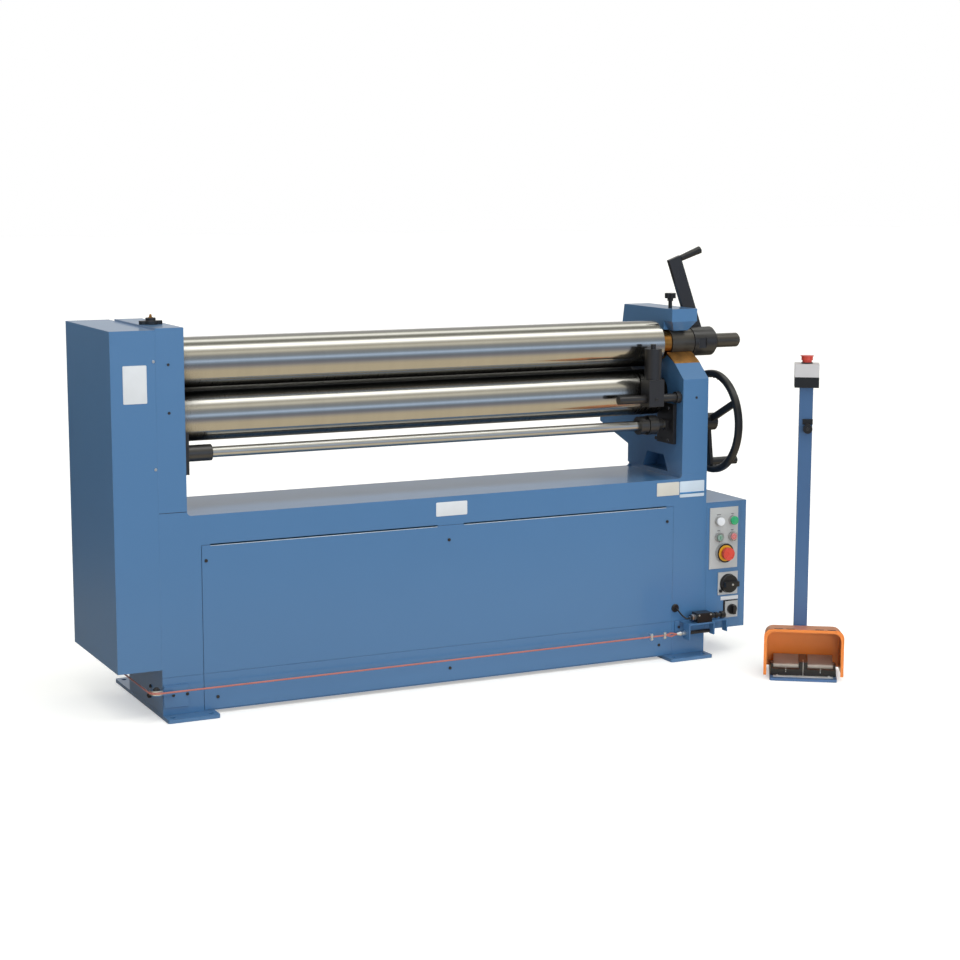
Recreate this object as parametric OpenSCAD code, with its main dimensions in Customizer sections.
// Plate rolling machine: two driven front rolls and a liftable rear roll between two
// frames on a box stand, with a handwheel, a drop-end lever, a cone guide, a control
// box, a trip wire round the stand and a free-standing double foot switch.
// X runs along the rolls, -Y is the operator's side and Z is up. The origin lies on
// the floor in the middle of the four outer anchor holes.

/* [Rolls] */
// Working width, the length of the roll faces
roll_face = 1550; // [1200:10:1800]
// Diameter of the three rolls
roll_d = 140; // [120:1:146]
// Gap between the upper and the lower roll
nip_gap = 10; // [8:1:16]
// Diameter of the journals of the two front rolls
journal_d = 86; // [80:1:88]
// Diameter of the rear roll's journals
rear_journal_d = 55; // [40:1:62]
// Height of the lower roll's axis above the floor
lower_z = 820; // [800:1:840]
// Distance of the front rolls' axes behind the front face
roll_setback = 135; // [125:1:145]
// Distance of the rear roll's axis behind the front rolls
rear_offset = 165; // [160:1:180]
// Tilt of the rear roll's path towards the upper roll
rear_tilt = 20; // [14:1:24]
// Travel of the rear roll below its rest place
rear_down = 15; // [10:1:20]
// Travel of the rear roll above its rest place
rear_up = 78; // [60:1:80]
// Width of a rear roll's bearing block
block_side = 90; // [84:1:94]
// Height of a rear roll's bearing block
block_tall = 100; // [92:1:104]
// Space between a roll's face and the left frame
left_gap = 5; // [5:1:8]
// Space between the upper roll's face and the right frame
right_gap = 28; // [24:1:36]

/* [Stand] */
// Height of the deck above the floor
deck_z = 562; // [540:1:580]
// Depth of the stand from front to back
stand_depth = 320; // [310:1:340]
// Thickness of the stand's front, rear and side plates
plate_t = 6; // [5:0.5:8]
// Thickness of the deck plate
deck_t = 8; // [6:1:12]
// Height of the pads under the frames above the deck
pad_h = 12; // [8:1:16]
// Inner corner radius between the deck line and the pads
pad_r = 12; // [6:1:12]
// Thickness of the foot plates
foot_t = 10; // [8:1:14]
// Width of each foot plate
foot_w = 150; // [140:1:160]
// Reach of a foot in front of the stand
foot_front = 53; // [45:1:60]
// Reach of a foot behind the stand
foot_rear = 144; // [130:1:160]
// Diameter of the anchor holes
anchor_d = 15; // [12:0.5:18]
// Distance of the anchor holes from a foot's front and rear edge
anchor_edge = 24.5; // [20:0.5:30]
// Distance of the anchor holes from a foot's sides
anchor_side = 20; // [16:0.5:30]
// Distance of the access panel from the stand's ends
panel_end = 118; // [105:1:130]
// Top of the access panel above the floor
panel_top = 478; // [440:1:500]
// Thickness of the access panel
panel_t = 3; // [2:0.5:4]

/* [Frames] */
// Thickness of the left frame
left_t = 80; // [70:1:90]
// Thickness of the right frame
right_t = 90; // [80:1:100]
// Top of both frames above the upper roll's axis
frame_top = 107; // [104:1:115]
// Depth of the left frame at its top
left_depth = 380; // [370:1:400]
// Depth of the right frame behind the front face
right_depth = 510; // [490:1:520]
// Outer radius of the bronze half bush
bush_r = 50; // [48:1:54]
// Height of the bearing cap
cap_h = 68; // [64:1:68]
// Distance of the cap's front behind the front face
cap_front = 72; // [66:1:80]
// Distance of the bearing cap's rear behind the front face
cap_back = 375; // [360:1:385]

/* [Drive cover] */
// Width of the drive cover
cover_w = 125; // [110:1:140]
// Depth of the drive cover
cover_depth = 441; // [400:1:450]
// Underside of the drive cover above the floor
cover_bottom = 139; // [130:1:160]
// Step from the left frame's top down to the cover's top
cover_drop = 5; // [2:1:8]
// Sheet thickness of the drive cover
cover_t = 3; // [2:0.5:5]

/* [Release lever] */
// Diameter of the release collar
collar_d = 90; // [84:1:100]
// Length of the release collar
collar_len = 86; // [80:1:92]
// Diameter of the tail rod
tail_d = 44; // [36:1:50]
// Length of the tail rod past the collar
tail_out = 97; // [80:1:110]
// Width of the lever's arm
arm_w = 44; // [36:1:46]
// Thickness of the lever's arm
arm_t = 14; // [10:1:18]
// Height of the lever's elbow above the upper roll's axis
arm_h = 266; // [240:1:285]
// Lean of the lever's arm over the cap
arm_lean = 20; // [16:1:21]
// Length of the lever's grip
grip_len = 75; // [66:1:90]

/* [Handwheel and cross shaft] */
// Outer radius of the handwheel
wheel_r = 161; // [140:1:165]
// Height of the rim's section, from its outside to its inside
rim_h = 21; // [18:1:24]
// Width of the rim's section, along the shaft
rim_w = 22; // [18:1:26]
// Distance of the handwheel's rim outside the right frame
wheel_out = 70; // [66:1:90]
// Number of finger waves inside the rim
waves = 40; // [24:1:48]
// Depth of the finger waves
wave_deep = 3; // [2:0.5:4]
// Length of the handwheel's grip
wheel_grip_len = 120; // [90:1:130]
// Height of the cross shaft above the floor
shaft_z = 722; // [716:1:728]
// Distance of the cross shaft behind the front face
shaft_setback = 85; // [80:1:90]
// Diameter of the cross shaft
shaft_d = 30; // [24:1:34]
// Diameter of the claw coupling
claw_d = 56; // [50:1:60]
// Diameter of the left coupling
sleeve_d = 46; // [42:1:52]
// Thickness of the black bearing plates on the frames
bracket_t = 12; // [8:1:14]

/* [Cone guide] */
// Diameter of the guide bar
bar_d = 26; // [22:1:30]
// Length of the guide bar
bar_len = 215; // [205:1:240]
// Height of the guide bar above the floor
bar_z = 811; // [806:1:816]
// Distance of the guide bar behind the front face
bar_setback = 24; // [21:1:27]
// Width of the guide block
block_w = 52; // [46:1:56]
// Height of the guide block
block_h = 82; // [76:1:90]
// Distance of the guide block from the right frame
block_place = 69; // [66:1:80]
// Diameter of the guide roller
guide_d = 52; // [46:1:56]
// Length of the guide roller
guide_len = 93; // [86:1:110]

/* [Control box] */
// Width of the control box
box_w = 148; // [140:1:160]
// Depth of the control box
box_d = 240; // [200:1:280]
// Underside of the control box above the floor
box_bottom = 78; // [60:1:90]
// Top of the control box above the floor
box_top = 480; // [470:1:500]
// Distance of the control plate from the box's inner edge
plate_in = 14; // [8:1:16]
// Width of the grey control plate
ctl_w = 103; // [98:1:112]
// Height of the grey control plate
ctl_h = 193; // [186:1:196]
// Thickness of the control plates
ctl_t = 3; // [2:0.5:5]
// Diameter of the lamp and button bezels
bezel_d = 29; // [26:1:32]
// Diameter of the emergency button's head
stop_head_d = 40; // [34:1:44]
// Side of the main switch's plate
main_plate = 72; // [66:1:76]

/* [Trip wire] */
// Diameter of the trip wire
wire_d = 5; // [4:0.5:6]
// Height of the trip wire above the floor
wire_z = 84; // [78:1:92]
// Diameter of the corner pulleys
pulley_d = 38; // [32:1:44]
// Thickness of the corner pulleys
pulley_t = 12; // [10:1:14]
// Distance of a pulley's axis from the stand's side
pulley_side = 22; // [20:1:24]
// Distance of a pulley's axis from the stand's front or rear
pulley_front = 15; // [13:1:18]

/* [Foot switch] */
// Distance of the foot switch in front of the origin
pedal_y = -628.5; // [-700:0.5:-600]
// Distance of the foot switch to the right of the origin
pedal_x = 955.5; // [930:0.5:1000]
// Turn of the foot switch about the vertical
pedal_turn = -34; // [-45:1:-20]
// Width of the foot switch's base
base_w = 198; // [190:1:210]
// Depth of the foot switch's base
base_d = 230; // [224:1:250]
// Thickness of the foot switch's base
base_t = 8; // [6:1:10]
// Width of the hood
hood_w = 235; // [232:1:250]
// Height of the hood at its mouth
hood_h = 155; // [145:1:170]
// Wall of the hood
hood_t = 5; // [4:0.5:6]
// Side of the square post
post_w = 40; // [36:1:44]
// Top of the post above the floor
post_top = 858; // [800:1:900]
// Side of the button box on the post
station_w = 72; // [66:1:80]
// Height of the button box on the post
station_h = 70; // [66:1:80]

/* [Hidden] */
$fn = 96;

// colours
blue = [0.22, 0.42, 0.62];
black = [0.12, 0.12, 0.13];
steel = [0.75, 0.75, 0.76];
bronze = [0.75, 0.5, 0.2];
grey = [0.75, 0.76, 0.76];
red = [0.8, 0.15, 0.12];
green = [0.1, 0.6, 0.3];
orange = [0.85, 0.42, 0.15];

// clearances
run = 0.05;        // shaft in its bush, on the radius
slide = 0.4;       // block in its guide, each side
seat = 0.3;        // curved or small pieces that sit on one another
clear = 5;         // moving pieces from what they pass
far = 400;         // longer than any cut in a plate

// places along X
span = left_gap + roll_face + right_gap;
right_out = (left_t + span + right_t) / 2;
left_out = -right_out;
left_in = left_out + left_t;
right_in = right_out - right_t;
face_x = left_in + left_gap;
face_end = face_x + roll_face;

// places along Y
foot_len = foot_front + stand_depth + foot_rear;
front_y = -foot_len / 2 + foot_front;
rear_y = front_y + stand_depth;
rolls_y = front_y + roll_setback;
rear_roll_y = rolls_y + rear_offset;
shaft_y = front_y + shaft_setback;
bar_y = front_y + bar_setback;

// places along Z
frame_z = deck_z + pad_h;
upper_z = lower_z + roll_d + nip_gap;
rear_z = lower_z;
top_z = upper_z + frame_top;
cap_z = top_z - cap_h;

// feet and anchor holes
foot_side = 1.5;   // reach of the feet past the frames
foot_r = 8;        // rounding of the feet's corners
foot_x = right_out + foot_side - foot_w / 2;
anchor_x = foot_w / 2 - anchor_side;
anchor_y = foot_len / 2 - anchor_edge;

// access panel
panel_x0 = left_out + panel_end;
panel_x1 = right_out - panel_end;
panel_bottom = foot_t + 2;
ledge = 20;        // width of the ledge behind the access panel
slot_h = 4;        // height of the gaps above the access panel
slot_end = 26;     // distance of the gaps from the panel's ends
slot_mid = 84;     // solid length between the two gaps
fold_z = 115;      // place, height and depth of the line across the front
fold_h = 1.6;
fold_deep = 0.8;

// rear edges of the frames and the pocket in the right one
back_rise = 38;
back_drop = 120;
pocket_y = 159;    // middle of the pocket behind the front face
pocket_w = 150;    // its width at the deck
pocket_top = 100;  // and at its top
pocket_h = 49;
pocket_deep = 50;

// oiler on the left frame
oiler_t = 10;      // thickness of its oval plate
oiler_back = 14;   // its place behind the rolls' axes

// bearing cap and its knob
knob_x = right_in + 28;
knob_y = rolls_y - 5;
knob_stem_d = 12;
cap_lean = 13;      // lean of the cap's rear face
cap_corner_x = 20;
cap_corner_y = 50;
cap_corner_z = 32;

// upper roll's right end
core_d = 40;       // shaft inside the thrust ring and the journal
core_in = 50;      // its reach into the journal
ring_d = journal_d - 8;   // bronze thrust ring
ring_in = 18;      // reach of the thrust ring into the mouth
sleeve_end = right_out + 7;
collar_x = right_out + 8;
collar_end = collar_x + collar_len;
tail_end = collar_end + tail_out;
tail_r = 6;        // rounding of the tail rod's end

// mouth of the half bush, from the bore down to the sloped front of the frame
mouth_y = 83;      // front edge of the mouth before the rolls' axis
mouth_z = 58;      // front edge of the mouth below the upper roll's axis
mouth_lip = [6, 5];    // step of the lip along the slope
mouth_turn = 39;   // angle of the mouth's inner edge below the horizontal
slope_z = 103;     // foot of the slope below the upper roll's axis

// lever
flat_deep = 4;      // depth of the flat on the collar's front
arm_sunk = 8;      // depth to which the arm is let into the collar
arm_y = rolls_y + collar_d / 2 + arm_t / 2 - arm_sunk;
arm_foot_x = right_out + 33;
arm_foot_z = 12;
arm_grip_d = [19, 23.5];
arm_grip_drop = 10;

// cross shaft and handwheel
shaft_x0 = left_in - 40;
bracket_w = 112;   // width of the left bearing plate
bracket_h = 116;   // height of the left bearing plate
boss_t = 9;        // boss round the shaft on the right bearing plate
sleeve_x = left_in + bracket_t + clear;
sleeve_disc = 10;
sleeve_len = 70;
claw_x = right_in - 110;
claw_len = 29;
claw_gap = 2;
claw_disc = 30;
claw_nose = 23;
claw_deep = 12;
claw_slot = 16;
wheel_x = right_out + wheel_out;
rim_r = wheel_r - rim_h / 2;
wave_sunk = 0.6;   // the waves' outer parts lie this deep in the rim
hub_d = 54;
hub_len = 40;
dish = 14;         // the hub stands this far inside the rim's plane
shaft_x1 = wheel_x - dish + hub_len / 2 - 2;
spoke_turn = 1;    // turn of the first spoke
spoke_w = 20;
spoke_t = 11;
wheel_grip_d = 26;
wheel_grip_angle = 294;

// guide
bar_seat = 30;     // depth of the guide bar in the right frame
block_x1 = right_in - block_place;
block_x0 = block_x1 - block_w;
block_d = 50;
block_z0 = bar_z - 23;
block_z1 = block_z0 + block_h;
axle_d = 16;
axle_out = 14;     // end of the roller's axle above the roller
bar_collar_d = 36;
bar_collar_len = 15;

// control box
box_x0 = right_out;
box_x1 = box_x0 + box_w;
door_x1 = box_x1 - 20;
door_t = 3;
box_t = 3;
ctl_x0 = box_x0 + plate_in;
ctl_top = box_top - 18;
lamp_x = ctl_x0 + 32;
lamp_gap = 50;
lamp_z = ctl_top - 42;
button_z = lamp_z - 51;
stop_z = button_z - 50;
stop_x = ctl_x0 + ctl_w / 2;
ring_out_d = 60;
stop_stem_d = 28;
stop_ring_t = 12;
stop_gap = 6;      // free space behind the emergency button's stem
bezel_t = 10;
button_d = 21;
button_h = 8;
button_gap = 4.5;
main_x = ctl_x0 + 70;
main_z = ctl_top - ctl_h - 49;
knob_d = 56;
selector_x = ctl_x0 + 85;
selector_z = main_z - 84;
selector_w = 46;
selector_h = 52;
front_face = front_y - ctl_t;

// trip wire
wire_front = front_y - pulley_front - pulley_d / 2 - wire_d / 2;
wire_rear = rear_y + pulley_front + pulley_d / 2 + wire_d / 2;
wire_left = left_out - pulley_side - pulley_d / 2 - wire_d / 2;
pulley_x = left_out - pulley_side;
shelf_x0 = right_out - 92;
wire_end = shelf_x0 - 30;
anchor_end = wire_end + 10;
socket_len = 14;
socket_d = 15;
stud_d = 8;
clip_w = 8;
clip_near = wire_end - 48;
clip_far = wire_end - 95;
loop_half = 5;     // half the opening of the wire's loop
ear_t = 4;         // sheet of the pulleys' brackets
ear_plate_w = 71;
ear_plate_h = 63;
ear_plate_z = 31.5;   // its lower edge above the floor
anchor_leg = 50;   // leg of the angle that holds the wire's rear end
pin_d = 10;        // pins of the pulleys
shelf_x1 = right_out + 70;
shelf_z = 112;
shelf_t = 4;
shelf_d = 62;
shelf_step = 92;   // length of the shelf's deep part
shelf_lip = 36;    // drop of the flanges on its right
shelf_ear = 14;    // place of the last flange before the shelf's end
stud_end = shelf_x0 + shelf_step + 6;

switch_len = 51;   // limit switch and its plunger
switch_w = 36;
switch_h = 30;
plunger_len = 56;

// foot switch
hood_front = 8;
hood_back = 160;
hood_rear_h = 132;
hood_taper = 8;
hood_r = 24;
hood_z = 15;
rim_in = 4;        // width of the hood's rim inside its wall
rim_deep = 4;
house_front = 36;
house_d = 104;
house_h = 20;
tread_w = 74;
tread_gap = 27;
tread_len = 72;
tread_t = 3;
tread_tilt = 10;
barrel_d = 14;
pivot_d = 8;
pivot_y = 44;
pivot_z = base_t + house_h + 9;
lug_t = 6;
lug_x = tread_gap / 2 + tread_w + 2;
post_y = 196;
post_x = -8;
post_t = 3;
station_z = post_top;
clamp_z = 735;     // height of the post's clamping knob
clamp_d = 28;
clamp_len = 24;

// ---------- helpers ----------
// outline in Y and Z, extruded along X from x0
module along_x(x0, len) {
    translate([x0, 0, 0]) rotate([90, 0, 90]) linear_extrude(len) children();
}
// outline in X and Z, extruded along Y from y0
module along_y(y0, len) {
    translate([0, y0 + len, 0]) rotate([90, 0, 0]) linear_extrude(len) children();
}
module rod_x(x0, y, z, len, d) {
    translate([x0, y, z]) rotate([0, 90, 0]) cylinder(h = len, d = d);
}
module rod_y(x, y0, z, len, d) {
    translate([x, y0, z]) rotate([-90, 0, 0]) cylinder(h = len, d = d);
}
// rectangle with rounded corners, exact arcs
module round_rect(w, h, r) {
    translate([r, 0]) square([w - 2 * r, h]);
    translate([0, r]) square([w, h - 2 * r]);
    for (x = [r, w - r], y = [r, h - r]) translate([x, y]) circle(r);
}
// rear roll's window and block, centred on the path at distance s from rest
module on_rear_path(s) {
    translate([0, rear_roll_y, rear_z]) rotate([rear_tilt, 0, 0]) translate([0, 0, s]) children();
}

// ---------- stand ----------
// front and rear outline: deck line with a raised, rounded end under each frame
module stand_outline() {
    difference() {
        translate([left_out, foot_t]) square([right_out - left_out, frame_z - foot_t]);
        translate([left_in + pad_r, deck_z]) square([span - 2 * pad_r, pad_h + 1]);
        translate([left_in, deck_z + pad_r]) square([span, pad_h + 1]);
        for (x = [left_in + pad_r, right_in - pad_r]) translate([x, deck_z + pad_r]) circle(pad_r);
    }
}
module front_plate() {
    color(blue) difference() {
        along_y(front_y, plate_t) stand_outline();
        translate([panel_x0, front_y - 1, panel_bottom])
            cube([panel_x1 - panel_x0, panel_t + 1, panel_top - panel_bottom]);
        translate([panel_x0 + ledge, front_y - 1, panel_bottom + ledge])
            cube([panel_x1 - panel_x0 - 2 * ledge, plate_t + 2, panel_top - panel_bottom - 2 * ledge]);
        panel_gaps();
        fold_line();
    }
}
// shallow line across the front where the sheet is folded
module fold_line() {
    translate([left_out - 1, front_y - 1, fold_z]) cube([2 * right_out + 2, 1 + fold_deep, fold_h]);
}
// long ventilation gaps along the panel's top edge
module panel_gaps() {
    half = (panel_x1 - panel_x0 - slot_mid) / 2 - slot_end;
    for (x = [panel_x0 + slot_end, panel_x1 - slot_end - half])
        translate([x, front_y - 1, panel_top - slot_h / 2]) cube([half, plate_t + 2, slot_h]);
}
module access_panel() {
    color(blue) difference() {
        translate([panel_x0 + 1.6, front_y, panel_bottom + 1])
            cube([panel_x1 - panel_x0 - 2, panel_t, panel_top - panel_bottom - 2]);
        panel_gaps();
        fold_line();
    }
}
module deck() {
    color(blue) {
        translate([left_out + plate_t, front_y + plate_t, deck_z - deck_t])
            cube([right_out - left_out - 2 * plate_t, stand_depth - 2 * plate_t, deck_t]);
        for (x = [left_out + plate_t, right_in])
            translate([x, front_y + plate_t, deck_z])
                cube([(x < 0 ? left_t : right_t) - plate_t, stand_depth - 2 * plate_t, pad_h]);
    }
}
module side_plates() {
    color(blue) for (x = [left_out, right_out - plate_t])
        translate([x, front_y + plate_t, foot_t])
            cube([plate_t, stand_depth - 2 * plate_t, frame_z - foot_t]);
}
module rear_plate() {
    color(blue) along_y(rear_y - plate_t, plate_t) stand_outline();
}
module foot(x) {
    difference() {
        translate([x - foot_w / 2, -foot_len / 2, 0]) linear_extrude(foot_t)
            round_rect(foot_w, foot_len, foot_r);
        for (dx = [-anchor_x, anchor_x], y = [-anchor_y, anchor_y])
            translate([x + dx, y, -1]) cylinder(h = foot_t + 2, d = anchor_d);
    }
}
module feet() {
    color(blue) {
        foot(-foot_x);
        foot(foot_x);
    }
}

// ---------- frames ----------
// window in which a rear bearing block slides
module rear_window(x0, len) {
    on_rear_path((rear_up - rear_down) / 2)
        translate([x0, -block_side / 2 - slide, -(block_tall + rear_up + rear_down) / 2 - clear])
            cube([len, block_side + 2 * slide, block_tall + rear_up + rear_down + 2 * clear]);
}
module left_frame() {
    color(blue) difference() {
        along_x(left_out, left_t) polygon([
            [front_y, frame_z], [rear_y, frame_z], [rear_y, frame_z + 58],
            [front_y + cover_depth, frame_z + 58 + back_rise],
            [front_y + cover_depth, top_z - back_drop - 60],
            [front_y + left_depth, top_z - back_drop], [front_y + left_depth, top_z], [front_y, top_z]]);
        rod_x(left_out - 1, rolls_y, upper_z, left_t + 2, journal_d + 2 * run);
        rod_x(left_out - 1, rolls_y, lower_z, left_t + 2, journal_d + 2 * run);
        rod_x(left_in - 45, shaft_y, shaft_z, 46, shaft_d + 2 * run);
        rear_window(left_out - 1, left_t + 2);
    }
}
module right_frame() {
    back = front_y + right_depth;
    color(blue) difference() {
        along_x(right_in, right_t) polygon([
            [front_y, frame_z], [rear_y + 8, frame_z], [rear_y + 8, frame_z + 58],
            [back, frame_z + 111], [back, cap_z - 109], [back - 110, cap_z],
            [rolls_y + bush_r, cap_z], [rolls_y + bush_r, upper_z], [rolls_y, upper_z],
            [rolls_y - bush_r * cos(45), upper_z - bush_r * sin(45)],
            [rolls_y - mouth_y, upper_z - mouth_z], [front_y, upper_z - slope_z]]);
        rod_x(right_in - 1, rolls_y, upper_z, right_t + 2, 2 * bush_r);
        rod_x(right_in - 1, rolls_y, lower_z, right_t + 2, journal_d + 2 * run);
        rod_x(right_in - 1, shaft_y, shaft_z, right_t + 2, shaft_d + 2 * run);
        rear_window(right_in - 1, right_t + 2);
        rod_x(right_in - 1, bar_y, bar_z, bar_seat + 1, bar_d);
        along_x(right_in - 1, pocket_deep + 1) translate([front_y + pocket_y, frame_z]) polygon([
            [-pocket_w / 2, -1], [pocket_w / 2, -1],
            [pocket_top / 2, pocket_h], [-pocket_top / 2, pocket_h]]);
    }
}
module bearing_cap() {
    y0 = front_y + cap_front;
    color(blue) difference() {
        along_x(right_in, right_t) polygon([
            [y0 + 23, cap_z], [y0, cap_z + 29], [y0, top_z],
            [front_y + cap_back - cap_lean, top_z], [front_y + cap_back, cap_z]]);
        translate([knob_x, knob_y, cap_z - 1]) cylinder(h = cap_h + 2, d = knob_stem_d + 2 * run);
        rod_x(right_in - 1, rolls_y, upper_z, right_t + 2, journal_d + 2 * run);
        // lower front corners, cut back on both sides
        for (side = [0, 1]) translate([right_in + side * right_t, 0, cap_z]) mirror([side, 0, 0])
            along_y(y0 - 1, cap_corner_y) polygon([[-1, -1], [cap_corner_x, -1], [-1, cap_corner_z]]);
    }
}
// section of the half bush round the journal, open at the top and with a sloped mouth in front
module bush_outline() {
    inner = journal_d / 2 + run;
    front = [-mouth_y, -mouth_z];
    lip = front + mouth_lip;
    edge = [-inner * cos(mouth_turn), -inner * sin(mouth_turn)];
    slope = (edge - lip) / (edge[0] - lip[0]);
    seat_at = -bush_r * [cos(45), sin(45)];
    inside = edge + 5 * slope;
    difference() {
        union() {
            circle(bush_r);
            polygon([front, seat_at + (seat_at - front) / 10, inside + [0, 8], lip + mouth_lip]);
        }
        circle(inner);
        polygon([lip - mouth_y * slope, inside, [0, 0], [far, 0], [far, far], [-far, far]]);
    }
}
module half_bush() {
    color(bronze) translate([0, rolls_y, upper_z]) along_x(right_in, right_t) bush_outline();
}

// ---------- drive cover ----------
module drive_cover() {
    x0 = left_out - cover_w;
    top = top_z - cover_drop;
    color(blue) difference() {
        translate([x0, front_y, cover_bottom]) cube([cover_w, cover_depth, top - cover_bottom]);
        translate([x0 + cover_t, front_y + cover_t, cover_bottom + cover_t])
            cube([cover_w - 2 * cover_t, cover_depth - 2 * cover_t, top - cover_bottom - 2 * cover_t]);
        translate([x0 + cover_w / 2, front_y + cover_t, frame_z])
            cube([cover_w, stand_depth - 2 * cover_t, top - frame_z - cover_t]);
    }
}
// oval oiler plate with a hub on the left frame
module oil_cap() {
    x = left_in - 45;
    color(black) {
        translate([x, rolls_y + oiler_back, top_z]) {
            cylinder(h = oiler_t, d = 44);
            for (a = [0, 180]) rotate(a) translate([22, 0, 0]) cylinder(h = oiler_t, d = 22);
            translate([-22, -11, 0]) cube([44, 22, oiler_t]);
            translate([0, 0, oiler_t]) cylinder(h = 8, d = 28);
        }
    }
}

// ---------- rolls ----------
module upper_roll() {
    color(steel) {
        rod_x(face_x, rolls_y, upper_z, roll_face, roll_d);
        rod_x(left_out + 10, rolls_y, upper_z, left_t - 10 + left_gap, journal_d);
        rod_x(face_end, rolls_y, upper_z, right_in + core_in - face_end, core_d);
    }
}
module thrust_ring() {
    color(bronze) difference() {
        rod_x(face_end, rolls_y, upper_z, right_gap + ring_in - 1, ring_d);
        rod_x(face_end - 1, rolls_y, upper_z, right_gap + ring_in + 1, core_d);
    }
}
module upper_journal() {
    color(black) difference() {
        union() {
            rod_x(right_in + ring_in, rolls_y, upper_z, sleeve_end - right_in - ring_in, journal_d);
            rod_x(sleeve_end, rolls_y, upper_z, tail_end - tail_r - sleeve_end, tail_d);
            translate([tail_end - tail_r, rolls_y, upper_z]) rotate([0, 90, 0])
                cylinder(h = tail_r, d1 = tail_d, d2 = tail_d - 2 * tail_r);
        }
        rod_x(right_in, rolls_y, upper_z, core_in, core_d);
    }
}
module lower_roll() {
    color(steel) difference() {
        union() {
            rod_x(face_x, rolls_y, lower_z, roll_face, roll_d);
            rod_x(left_out + 10, rolls_y, lower_z, left_t - 10 + left_gap, journal_d);
            rod_x(face_end, rolls_y, lower_z, right_gap + right_t - 10, journal_d);
        }
        for (i = [0:3]) wire_groove(face_end - 16 - 20 * i);
    }
}
// half-round groove for rolling wire and rod
module wire_groove(x) {
    translate([x, rolls_y, lower_z]) rotate([0, 90, 0])
        rotate_extrude() translate([roll_d / 2, 0]) circle(4, $fn = 32);
}
module rear_roll() {
    color(steel) {
        rod_x(face_x, rear_roll_y, rear_z, roll_face, roll_d);
        rod_x(left_out + 10, rear_roll_y, rear_z, left_t - 10 + left_gap, rear_journal_d);
        rod_x(face_end, rear_roll_y, rear_z, right_gap + right_t - 10, rear_journal_d);
    }
}
module rear_bearings() {
    color(black) for (x = [left_out + 2, right_in]) difference() {
        on_rear_path(0) translate([x, -block_side / 2, -block_tall / 2])
            cube([x < 0 ? left_t - 2 : right_t, block_side, block_tall]);
        rod_x(x - 1, rear_roll_y, rear_z, right_t + 2, rear_journal_d + 2 * run);
    }
}

// ---------- drop-end lever ----------
module release_lever() {
    color(black) difference() {
        union() {
            translate([collar_x, rolls_y, upper_z]) rotate([0, 90, 0]) {
                cylinder(h = collar_len - 8, d = collar_d);
                translate([0, 0, collar_len - 8]) cylinder(h = 8, d1 = collar_d, d2 = collar_d - 16);
            }
            lever_arm();
        }
        rod_x(collar_x - 1, rolls_y, upper_z, collar_len + 2, tail_d + 2 * run);
        // flat let into the collar's front
        translate([collar_x + 14, rolls_y - collar_d / 2 - 1, upper_z - 24]) cube([28, 1 + flat_deep, 37]);
    }
}
// flat arm that leans inwards over the cap
module lever_arm() {
    foot_z = upper_z + arm_foot_z;
    low = upper_z + frame_top;
    shift = tan(arm_lean);
    half = arm_w / cos(arm_lean) / 2;
    elbow_z = upper_z + arm_h;
    x_at = arm_foot_x;
    along_y(arm_y - arm_t / 2, arm_t) polygon([
        [x_at - half + (low - foot_z) * shift, foot_z],
        [x_at + half + (low - foot_z) * shift, foot_z],
        [x_at + half - (elbow_z - low) * shift, elbow_z],
        [x_at + half - (elbow_z - low) * shift - arm_w * cos(arm_lean),
            elbow_z + arm_w * sin(arm_lean) * -1],
        ]);
}
module lever_grip() {
    half = arm_w / cos(arm_lean) / 2;
    x_at = arm_foot_x + half - (arm_h - frame_top) * tan(arm_lean);
    color(black) translate([x_at, arm_y, upper_z + arm_h]) rotate([0, 90 - arm_lean, 0])
        translate([arm_grip_drop, 0, seat]) cylinder(h = grip_len, d1 = arm_grip_d[0], d2 = arm_grip_d[1]);
}
module star_knob() {
    color(black) translate([knob_x, knob_y, cap_z + 8]) {
        cylinder(h = cap_h + 14, d = knob_stem_d);
        translate([0, 0, cap_h + 14]) cylinder(h = 8, d = 18);
        translate([0, 0, cap_h + 22]) linear_extrude(16) {
            circle(d = 26);
            for (i = [0:6]) rotate(i * 360 / 7) translate([13, 0]) circle(d = 9);
        }
    }
}

// ---------- cross shaft and handwheel ----------
module cross_shaft() {
    color(steel) rod_x(shaft_x0, shaft_y, shaft_z, shaft_x1 - shaft_x0, shaft_d);
}
module couplings() {
    color(black) {
        difference() {
            union() {
                rod_x(sleeve_x, shaft_y, shaft_z, sleeve_disc, sleeve_d);
                rod_x(sleeve_x + sleeve_disc, shaft_y, shaft_z, claw_gap, sleeve_d - 8);
                rod_x(sleeve_x + sleeve_disc + claw_gap, shaft_y, shaft_z, sleeve_len, sleeve_d);
            }
            rod_x(sleeve_x - 1, shaft_y, shaft_z, far, shaft_d);
        }
        difference() {
            union() {
                rod_x(claw_x, shaft_y, shaft_z, claw_len, claw_d);
                rod_x(claw_x + claw_len, shaft_y, shaft_z, claw_gap, claw_d - 16);
                rod_x(claw_x + claw_len + claw_gap, shaft_y, shaft_z, claw_disc, claw_d + 4);
                rod_x(claw_x + claw_len + claw_gap + claw_disc, shaft_y, shaft_z, claw_nose, claw_d - 22);
            }
            rod_x(claw_x - 1, shaft_y, shaft_z, far, shaft_d);
            // three claws cut into the sleeve's end
            for (i = [0:2]) translate([claw_x + claw_len - claw_deep, shaft_y, shaft_z])
                rotate([i * 120, 0, 0]) translate([0, shaft_d / 2 + 4, -claw_slot / 2])
                    cube([claw_deep + 1, claw_d, claw_slot]);
        }
    }
}
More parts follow.
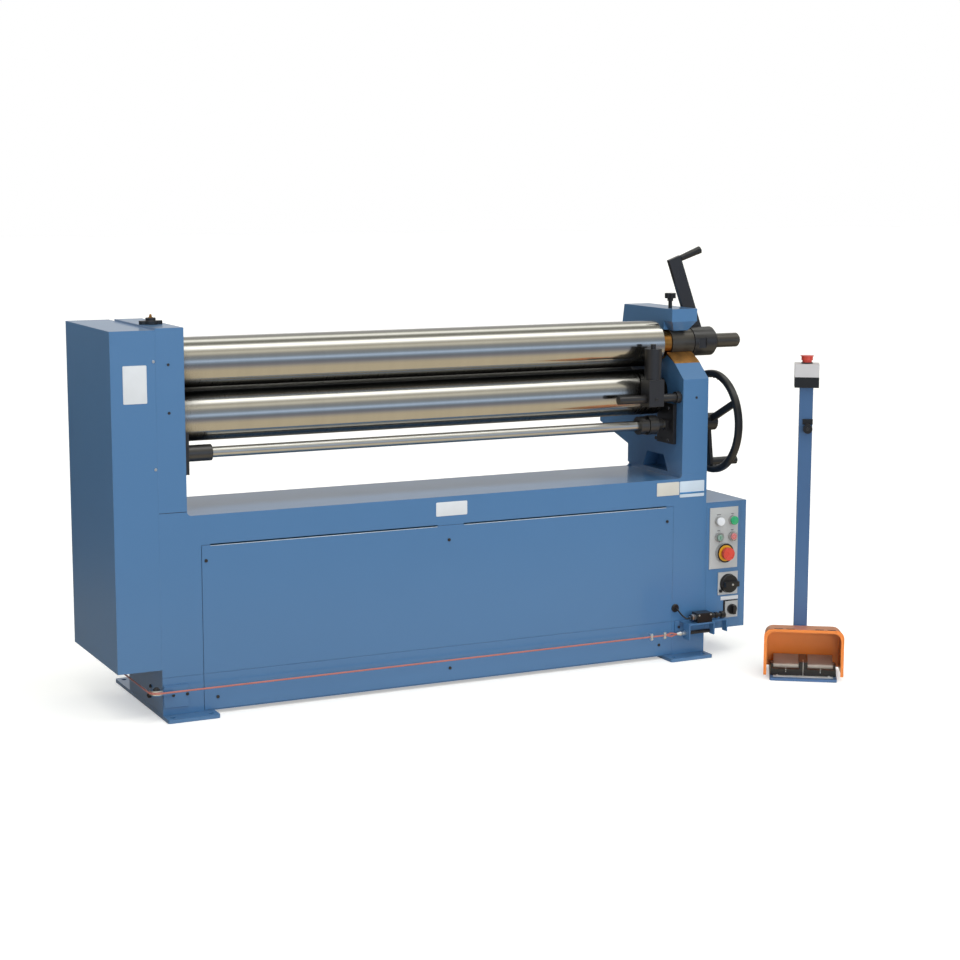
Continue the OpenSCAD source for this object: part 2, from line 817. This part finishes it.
module bearing_plates() {
    color(black) {
        difference() {
            translate([left_in, shaft_y - 77, shaft_z - 48]) cube([bracket_t, bracket_w, bracket_h]);
            rod_x(left_in - 1, shaft_y, shaft_z, bracket_t + 2, shaft_d + 2 * run);
            rod_x(left_in - 1, rolls_y, lower_z, bracket_t + 2, roll_d + 2 * clear);
        }
        difference() {
            union() {
                translate([right_in - bracket_t, shaft_y - 48, shaft_z - 58])
                    cube([bracket_t, bracket_w - 18, bracket_h + 8]);
                translate([right_in - bracket_t - boss_t, shaft_y - 20, shaft_z - 17]) cube([boss_t, 42, 32]);
            }
            rod_x(right_in - far / 2, shaft_y, shaft_z, far, shaft_d + 2 * run);
            rod_x(right_in - bracket_t - 1, rolls_y, lower_z, bracket_t + 2, journal_d + 2 * clear);
        }
    }
}
// rim section with rounded corners, drawn round the shaft
module rim_outline() {
    translate([rim_r - rim_h / 2, -rim_w / 2]) round_rect(rim_h, rim_w, rim_h / 3);
}
// ring inside the rim with finger waves
module rim_waves() {
    steps = waves * 6;
    base = wheel_r - rim_h + wave_sunk;
    half = (wave_deep + wave_sunk) / 2;
    linear_extrude(rim_w / 3, center = true) difference() {
        circle(rim_r);
        polygon([for (i = [0:steps - 1]) let (a = i * 360 / steps)
            (base - half + half * cos(waves * a)) * [cos(a), sin(a)]]);
    }
}
module spoke() {
    in_r = hub_d / 2 - 4;
    rise = atan(dish / (rim_r - in_r));
    translate([in_r, 0, -dish]) rotate([0, -rise, 0]) translate([0, -spoke_w / 2, -spoke_t / 2])
        cube([(rim_r - in_r) / cos(rise), spoke_w, spoke_t]);
}
module handwheel() {
    color(black) translate([wheel_x, shaft_y, shaft_z]) rotate([0, 90, 0]) difference() {
        union() {
            rotate_extrude() rim_outline();
            rim_waves();
            for (i = [0:2]) rotate(spoke_turn + i * 120) spoke();
            translate([0, 0, -dish - hub_len / 2]) cylinder(h = hub_len, d = hub_d);
        }
        translate([0, 0, -dish - hub_len / 2 - 1]) cylinder(h = hub_len + 2, d = shaft_d);
    }
}
module handwheel_grip() {
    y = rim_r * cos(wheel_grip_angle);
    z = rim_r * sin(wheel_grip_angle);
    x0 = wheel_x + rim_w / 2;
    color(black) {
        rod_x(x0, shaft_y + y, shaft_z + z, 8, 12);
        rod_x(x0 + 8, shaft_y + y, shaft_z + z, wheel_grip_len - 8, wheel_grip_d);
    }
}

// ---------- cone guide ----------
module guide_bar() {
    color(black) {
        rod_x(right_in - bar_len, bar_y, bar_z, bar_len + bar_seat, bar_d);
        rod_x(right_in - bar_collar_len, bar_y, bar_z, bar_collar_len, bar_collar_d);
    }
}
module guide_block() {
    color(black) difference() {
        union() {
            translate([block_x0, bar_y - block_d / 2, block_z0]) cube([block_w, block_d, block_h]);
            translate([(block_x0 + block_x1) / 2, bar_y, block_z1])
                cylinder(h = guide_len + axle_out, d = axle_d);
        }
        rod_x(block_x0 - 1, bar_y, bar_z, block_w + 2, bar_d + 2 * run);
    }
}
module guide_roller() {
    color(black) translate([(block_x0 + block_x1) / 2, bar_y, block_z1 + seat]) difference() {
        cylinder(h = guide_len, d = guide_d);
        translate([0, 0, -1]) cylinder(h = guide_len + 2, d = axle_d + 2 * run);
    }
}

// ---------- control box ----------
module control_box() {
    color(blue) difference() {
        translate([box_x0, front_y, box_bottom]) cube([box_w, box_d, box_top - box_bottom]);
        translate([box_x0 + box_t, front_y + door_t, box_bottom + box_t])
            cube([box_w - 2 * box_t, box_d - door_t - box_t, box_top - box_bottom - 2 * box_t]);
        translate([box_x0 + box_t, front_y - 1, box_bottom + box_t])
            cube([door_x1 - box_x0 - box_t, door_t + 2, box_top - box_bottom - 2 * box_t]);
    }
}
module control_door() {
    color(blue) translate([box_x0 + box_t + seat, front_y, box_bottom + box_t + seat])
        cube([door_x1 - box_x0 - box_t - 2 * seat, door_t, box_top - box_bottom - 2 * box_t - 2 * seat]);
}
module control_plates() {
    color(grey) {
        translate([ctl_x0, front_face, ctl_top - ctl_h]) cube([ctl_w, ctl_t, ctl_h]);
        translate([main_x - main_plate / 2, front_face, main_z - main_plate / 2])
            cube([main_plate, ctl_t, main_plate]);
        translate([selector_x - selector_w / 2, front_face, selector_z - selector_h / 2])
            cube([selector_w, ctl_t, selector_h]);
    }
}
// hollow bezel standing out from a control plate
module bezel(x, z, out_d, in_d, t) {
    difference() {
        rod_y(x, front_face - t, z, t, out_d);
        rod_y(x, front_face - t - 1, z, t + 2, in_d);
    }
}
module button_bezels() {
    color(steel) {
        for (i = [0, 1], z = [lamp_z, button_z])
            bezel(lamp_x + i * lamp_gap, z, bezel_d, button_d + 2 * seat, bezel_t);
        bezel(stop_x, stop_z, ring_out_d, stop_stem_d + 2 * seat, stop_ring_t);
    }
}
module lamp(x) {
    rod_y(x, front_face - bezel_t - 4, lamp_z, bezel_t + 4 - seat, button_d);
}
module white_lamp() {
    color("white") lamp(lamp_x);
}
module green_lamp() {
    color(green) lamp(lamp_x + lamp_gap);
}
module push_button(x) {
    rod_y(x, front_face - button_gap - button_h, button_z, button_h, button_d);
}
module start_button() {
    color(green) push_button(lamp_x);
}
module stop_button() {
    color(red) push_button(lamp_x + lamp_gap);
}
module emergency_button() {
    color(red) {
        rod_y(stop_x, front_face - stop_ring_t - 9, stop_z, stop_ring_t + 9 - stop_gap, stop_stem_d);
        rod_y(stop_x, front_face - stop_ring_t - 21, stop_z, 12, stop_head_d);
    }
}
module main_switch() {
    color(black) {
        rod_y(main_x, front_face - 14 - seat, main_z, 14, knob_d);
        translate([main_x - knob_d / 2 + 3, front_face - 28 - seat, main_z - 8]) cube([knob_d - 6, 14, 16]);
    }
}
module selector_switch() {
    color(black) {
        rod_y(selector_x, front_face - 8 - seat, selector_z, 8, 32);
        translate([selector_x - 5, front_face - 20 - seat, selector_z - 14]) cube([10, 12, 28]);
    }
}

// ---------- trip wire ----------
module trip_bracket() {
    front = front_y - shelf_d;
    color(blue) {
        translate([shelf_x0, front, shelf_z]) cube([shelf_step, shelf_d, shelf_t]);
        translate([shelf_x0, front_y - shelf_d * 2 / 3, shelf_z])
            cube([shelf_x1 - shelf_x0, shelf_d * 2 / 3, shelf_t]);
        difference() {
            translate([shelf_x0, front, shelf_z - 46]) cube([shelf_t, 36, 46]);
            rod_x(shelf_x0 - 1, wire_front, wire_z, shelf_t + 2, stud_d + 2 * run);
        }
        translate([shelf_x0 - 16, front_y - shelf_t, shelf_z - 34]) cube([60, shelf_t, 34 + shelf_t]);
        difference() {
            translate([shelf_x0 + shelf_step - shelf_t, front, shelf_z - shelf_lip])
                cube([shelf_t, 24, shelf_lip]);
            rod_x(shelf_x0 + shelf_step - shelf_t - 1, wire_front, wire_z, shelf_t + 2, stud_d + 2 * run);
        }
        translate([shelf_x1 - shelf_ear, front_y - shelf_d * 2 / 3, shelf_z - shelf_lip])
            cube([shelf_t, 24, shelf_lip]);
    }
}
module limit_switch() {
    x0 = shelf_x0 + 33;
    x1 = x0 + switch_len;
    y = front_y - 40;
    z = shelf_z + shelf_t + switch_h / 2;
    color(black) {
        translate([x0, y - switch_w / 2, z - switch_h / 2]) cube([switch_len, switch_w, switch_h]);
        rod_x(x0 - 18, y, z, 18, 18);
        // plunger with two collars and a knob
        rod_x(x1, y, z, plunger_len, 13);
        for (dx = [6, 22]) rod_x(x1 + dx, y, z, 7, 20);
        rod_x(x1 + plunger_len - 14, y, z, 14, 22);
    }
}
// tapered end fitting with a stud through the bracket, its nuts, and two clips on the wire
module wire_fittings() {
    color(steel) {
        translate([wire_end, wire_front, wire_z]) rotate([0, 90, 0])
            cylinder(h = socket_len, d1 = socket_d - 7, d2 = socket_d);
        rod_x(wire_end + socket_len, wire_front, wire_z, stud_end - wire_end - socket_len, stud_d);
        for (x = [shelf_x0 - 7, shelf_x0 + shelf_t])
            translate([x, wire_front, wire_z]) rotate([0, 90, 0]) cylinder(h = 7, d = 16, $fn = 6);
        for (x = [clip_far, clip_near]) difference() {
            translate([x, wire_front - 4, wire_z - 10]) cube([clip_w, 8, 20]);
            rod_x(x - 1, wire_front, wire_z, clip_w + 2, wire_d + 2 * run);
        }
    }
}
// the wire's loop between the near clip and the end fitting
module wire_loop() {
    x0 = clip_near + clip_w + 1;
    x1 = wire_end - seat;
    w = wire_d / 2 - 0.2;
    along_y(wire_front - w, 2 * w) translate([x0, wire_z]) difference() {
        polygon([[0, -w], [0, w], [(x1 - x0) / 2, loop_half + w], [x1 - x0, w],
            [x1 - x0, -w], [(x1 - x0) / 2, -loop_half - w]]);
        polygon([[3 * w, 0], [(x1 - x0) / 2, loop_half - w], [x1 - x0 - 3 * w, 0],
            [(x1 - x0) / 2, w - loop_half]]);
    }
}
module trip_wire() {
    r = pulley_d / 2 + wire_d / 2;
    color(red) {
        rod_x(pulley_x, wire_front, wire_z, clip_near + clip_w + 2 - pulley_x, wire_d);
        wire_loop();
        translate([pulley_x, front_y - pulley_front, wire_z])
            rotate(180) rotate_extrude(angle = 90) translate([r, 0]) circle(d = wire_d, $fn = 24);
        rod_y(wire_left, front_y - pulley_front, wire_z, stand_depth + 2 * pulley_front, wire_d);
        translate([pulley_x, rear_y + pulley_front, wire_z])
            rotate(90) rotate_extrude(angle = 90) translate([r, 0]) circle(d = wire_d, $fn = 24);
        rod_x(pulley_x, wire_rear, wire_z, anchor_end - pulley_x, wire_d);
    }
}
module corner_pulley(y) {
    color(black) difference() {
        translate([pulley_x, y, wire_z - pulley_t / 2]) cylinder(h = pulley_t, d = pulley_d);
        translate([pulley_x, y, wire_z - pulley_t / 2 - 1]) cylinder(h = pulley_t + 2, d = pin_d + 2 * run);
        translate([pulley_x, y, wire_z]) rotate_extrude()
            translate([pulley_d / 2 + wire_d / 2, 0]) circle(d = wire_d, $fn = 24);
    }
}
module corner_pulleys() {
    corner_pulley(front_y - pulley_front);
    corner_pulley(rear_y + pulley_front);
}
// angle bracket with an ear and a pin for a pulley; out is -1 in front and 1 behind
module pulley_bracket(face_y, out) {
    ear_z = wire_z - pulley_t / 2 - seat - ear_t;
    y = face_y + out * pulley_front;
    back = face_y + (out < 0 ? -ear_t : 0);
    translate([left_out + 2, back, ear_plate_z]) cube([ear_plate_w, ear_t, ear_plate_h]);
    translate([pulley_x, min(y, face_y) - (out < 0 ? 8 : 0), ear_z])
        cube([left_out + 30 - pulley_x, pulley_front + 8, ear_t]);
    translate([pulley_x, y, ear_z]) cylinder(h = ear_t, d = pulley_d - 8);
    translate([pulley_x, y, ear_z]) cylinder(h = ear_t + seat + pulley_t + 3, d = pin_d);
}
module pulley_brackets() {
    color(blue) {
        pulley_bracket(front_y, -1);
        pulley_bracket(rear_y, 1);
        // angle that holds the wire's rear end
        translate([anchor_end, rear_y, wire_z - anchor_leg / 2]) cube([anchor_leg, ear_t, anchor_leg]);
        translate([anchor_end, rear_y, wire_z - anchor_leg / 2])
            cube([ear_t, wire_rear - rear_y + ear_t + wire_d, anchor_leg]);
    }
}

// ---------- foot switch ----------
module at_pedal() {
    translate([pedal_x, pedal_y, 0]) rotate(pedal_turn) children();
}
module pedal_base() {
    color(blue) at_pedal() translate([-base_w / 2, 0, 0])
        linear_extrude(base_t) round_rect(base_w, base_d, 6);
}
module pedal_housing() {
    color(black) at_pedal() {
        translate([-base_w / 2 + 2, house_front, base_t]) cube([base_w - 4, house_d, house_h]);
        translate([-tread_gap / 2 + 2, house_front, base_t + house_h]) cube([tread_gap - 4, house_d, 22]);
        for (x = [-lug_x - lug_t, lug_x])
            translate([x, pivot_y - barrel_d / 2, base_t + house_h]) cube([lug_t, barrel_d, 16]);
        rod_x(-lug_x - 1, pivot_y, pivot_z, 2 * lug_x + 2, pivot_d);
    }
}
// front view of the hood at a place along its depth, rounded at the top
module hood_slice(y, w, z0, z1) {
    along_y(y, 0.1) translate([-w / 2, 0]) {
        translate([0, z0]) square([w, z1 - z0 - hood_r]);
        translate([hood_r, z0]) square([w - 2 * hood_r, z1 - z0]);
        for (x = [hood_r, w - hood_r]) translate([x, z1 - hood_r]) circle(hood_r, $fn = 32);
    }
}
module pedal_hood() {
    y0 = hood_front;
    y1 = hood_front + hood_back;
    color(orange) at_pedal() {
        hood_shell(y0, y1);
        // rim turned inwards round the mouth
        difference() {
            hull() {
                hood_slice(y0, hood_w, hood_z, hood_h);
                hood_slice(y0 + rim_deep, hood_w, hood_z, hood_h - 1);
            }
            hull() for (y = [y0 - 1, y0 + rim_deep + 1])
                hood_slice(y, hood_w - 2 * hood_t - 2 * rim_in, hood_z - 2, hood_h - hood_t - rim_in);
        }
    }
}
module hood_shell(y0, y1) {
    difference() {
        hull() {
            hood_slice(y0, hood_w, hood_z, hood_h);
            hood_slice(y1, hood_w - hood_taper, base_t, hood_rear_h);
        }
        hull() {
            hood_slice(y0 - 1, hood_w - 2 * hood_t, hood_z - 2, hood_h - hood_t);
            hood_slice(y1 - hood_t, hood_w - hood_taper - 2 * hood_t, base_t - 2,
                hood_rear_h - hood_t);
        }
    }
}
// sprung tread with a barrel round the pivot pin at its front edge
module tread(side) {
    x0 = side < 0 ? -tread_gap / 2 - tread_w : tread_gap / 2;
    color(grey) at_pedal() translate([x0, pivot_y, pivot_z]) rotate([tread_tilt, 0, 0]) difference() {
        union() {
            rod_x(0, 0, 0, tread_w, barrel_d);
            translate([0, 0, barrel_d / 2 - tread_t]) cube([tread_w, tread_len, tread_t]);
        }
        rod_x(-1, 0, 0, tread_w + 2, pivot_d + 2 * run);
    }
}
module left_pedal() {
    tread(-1);
}
module right_pedal() {
    tread(1);
}
module pedal_post() {
    color(blue) at_pedal() translate([post_x - post_w / 2, post_y - post_w / 2, base_t]) difference() {
        cube([post_w, post_w, post_top - base_t]);
        translate([post_t, post_t, post_t])
            cube([post_w - 2 * post_t, post_w - 2 * post_t, post_top - base_t]);
    }
}
module station_base() {
    color(black) at_pedal() translate([post_x - station_w / 2, post_y - station_w / 2, station_z])
        cube([station_w, station_w, station_h * 0.45]);
}
module station_lid() {
    color(grey) at_pedal() difference() {
        translate([post_x - station_w / 2, post_y - station_w / 2, station_z + station_h * 0.45])
            cube([station_w, station_w, station_h * 0.55]);
        translate([post_x, post_y, station_z + station_h - 12]) cylinder(h = 13, d = 28 + 2 * seat);
    }
}
module station_button() {
    color(red) at_pedal() translate([post_x, post_y, station_z + station_h - 4]) {
        cylinder(h = 14, d = 28);
        translate([0, 0, 14]) cylinder(h = 12, d = 34);
        translate([0, 0, 26]) cylinder(h = 2, d = stop_head_d);
    }
}
module post_knob() {
    color(black) at_pedal() {
        rod_y(post_x + 6, post_y - post_w / 2 - clamp_len, clamp_z, clamp_len, clamp_d);
        translate([post_x - 9, post_y - post_w / 2 - 4, clamp_z + clamp_d / 2 - 2]) cube([30, 4, 16]);
    }
}

// ---------- what is drawn ----------
front_plate();
access_panel();
deck();
side_plates();
rear_plate();
feet();
left_frame();
right_frame();
bearing_cap();
half_bush();
drive_cover();
oil_cap();
upper_roll();
thrust_ring();
upper_journal();
lower_roll();
rear_roll();
rear_bearings();
release_lever();
lever_grip();
star_knob();
cross_shaft();
couplings();
bearing_plates();
handwheel();
handwheel_grip();
guide_bar();
guide_block();
guide_roller();
control_box();
control_door();
control_plates();
button_bezels();
white_lamp();
green_lamp();
start_button();
stop_button();
emergency_button();
main_switch();
selector_switch();
trip_bracket();
limit_switch();
wire_fittings();
trip_wire();
corner_pulleys();
pulley_brackets();
pedal_base();
pedal_housing();
pedal_hood();
left_pedal();
right_pedal();
pedal_post();
station_base();
station_lid();
station_button();
post_knob();
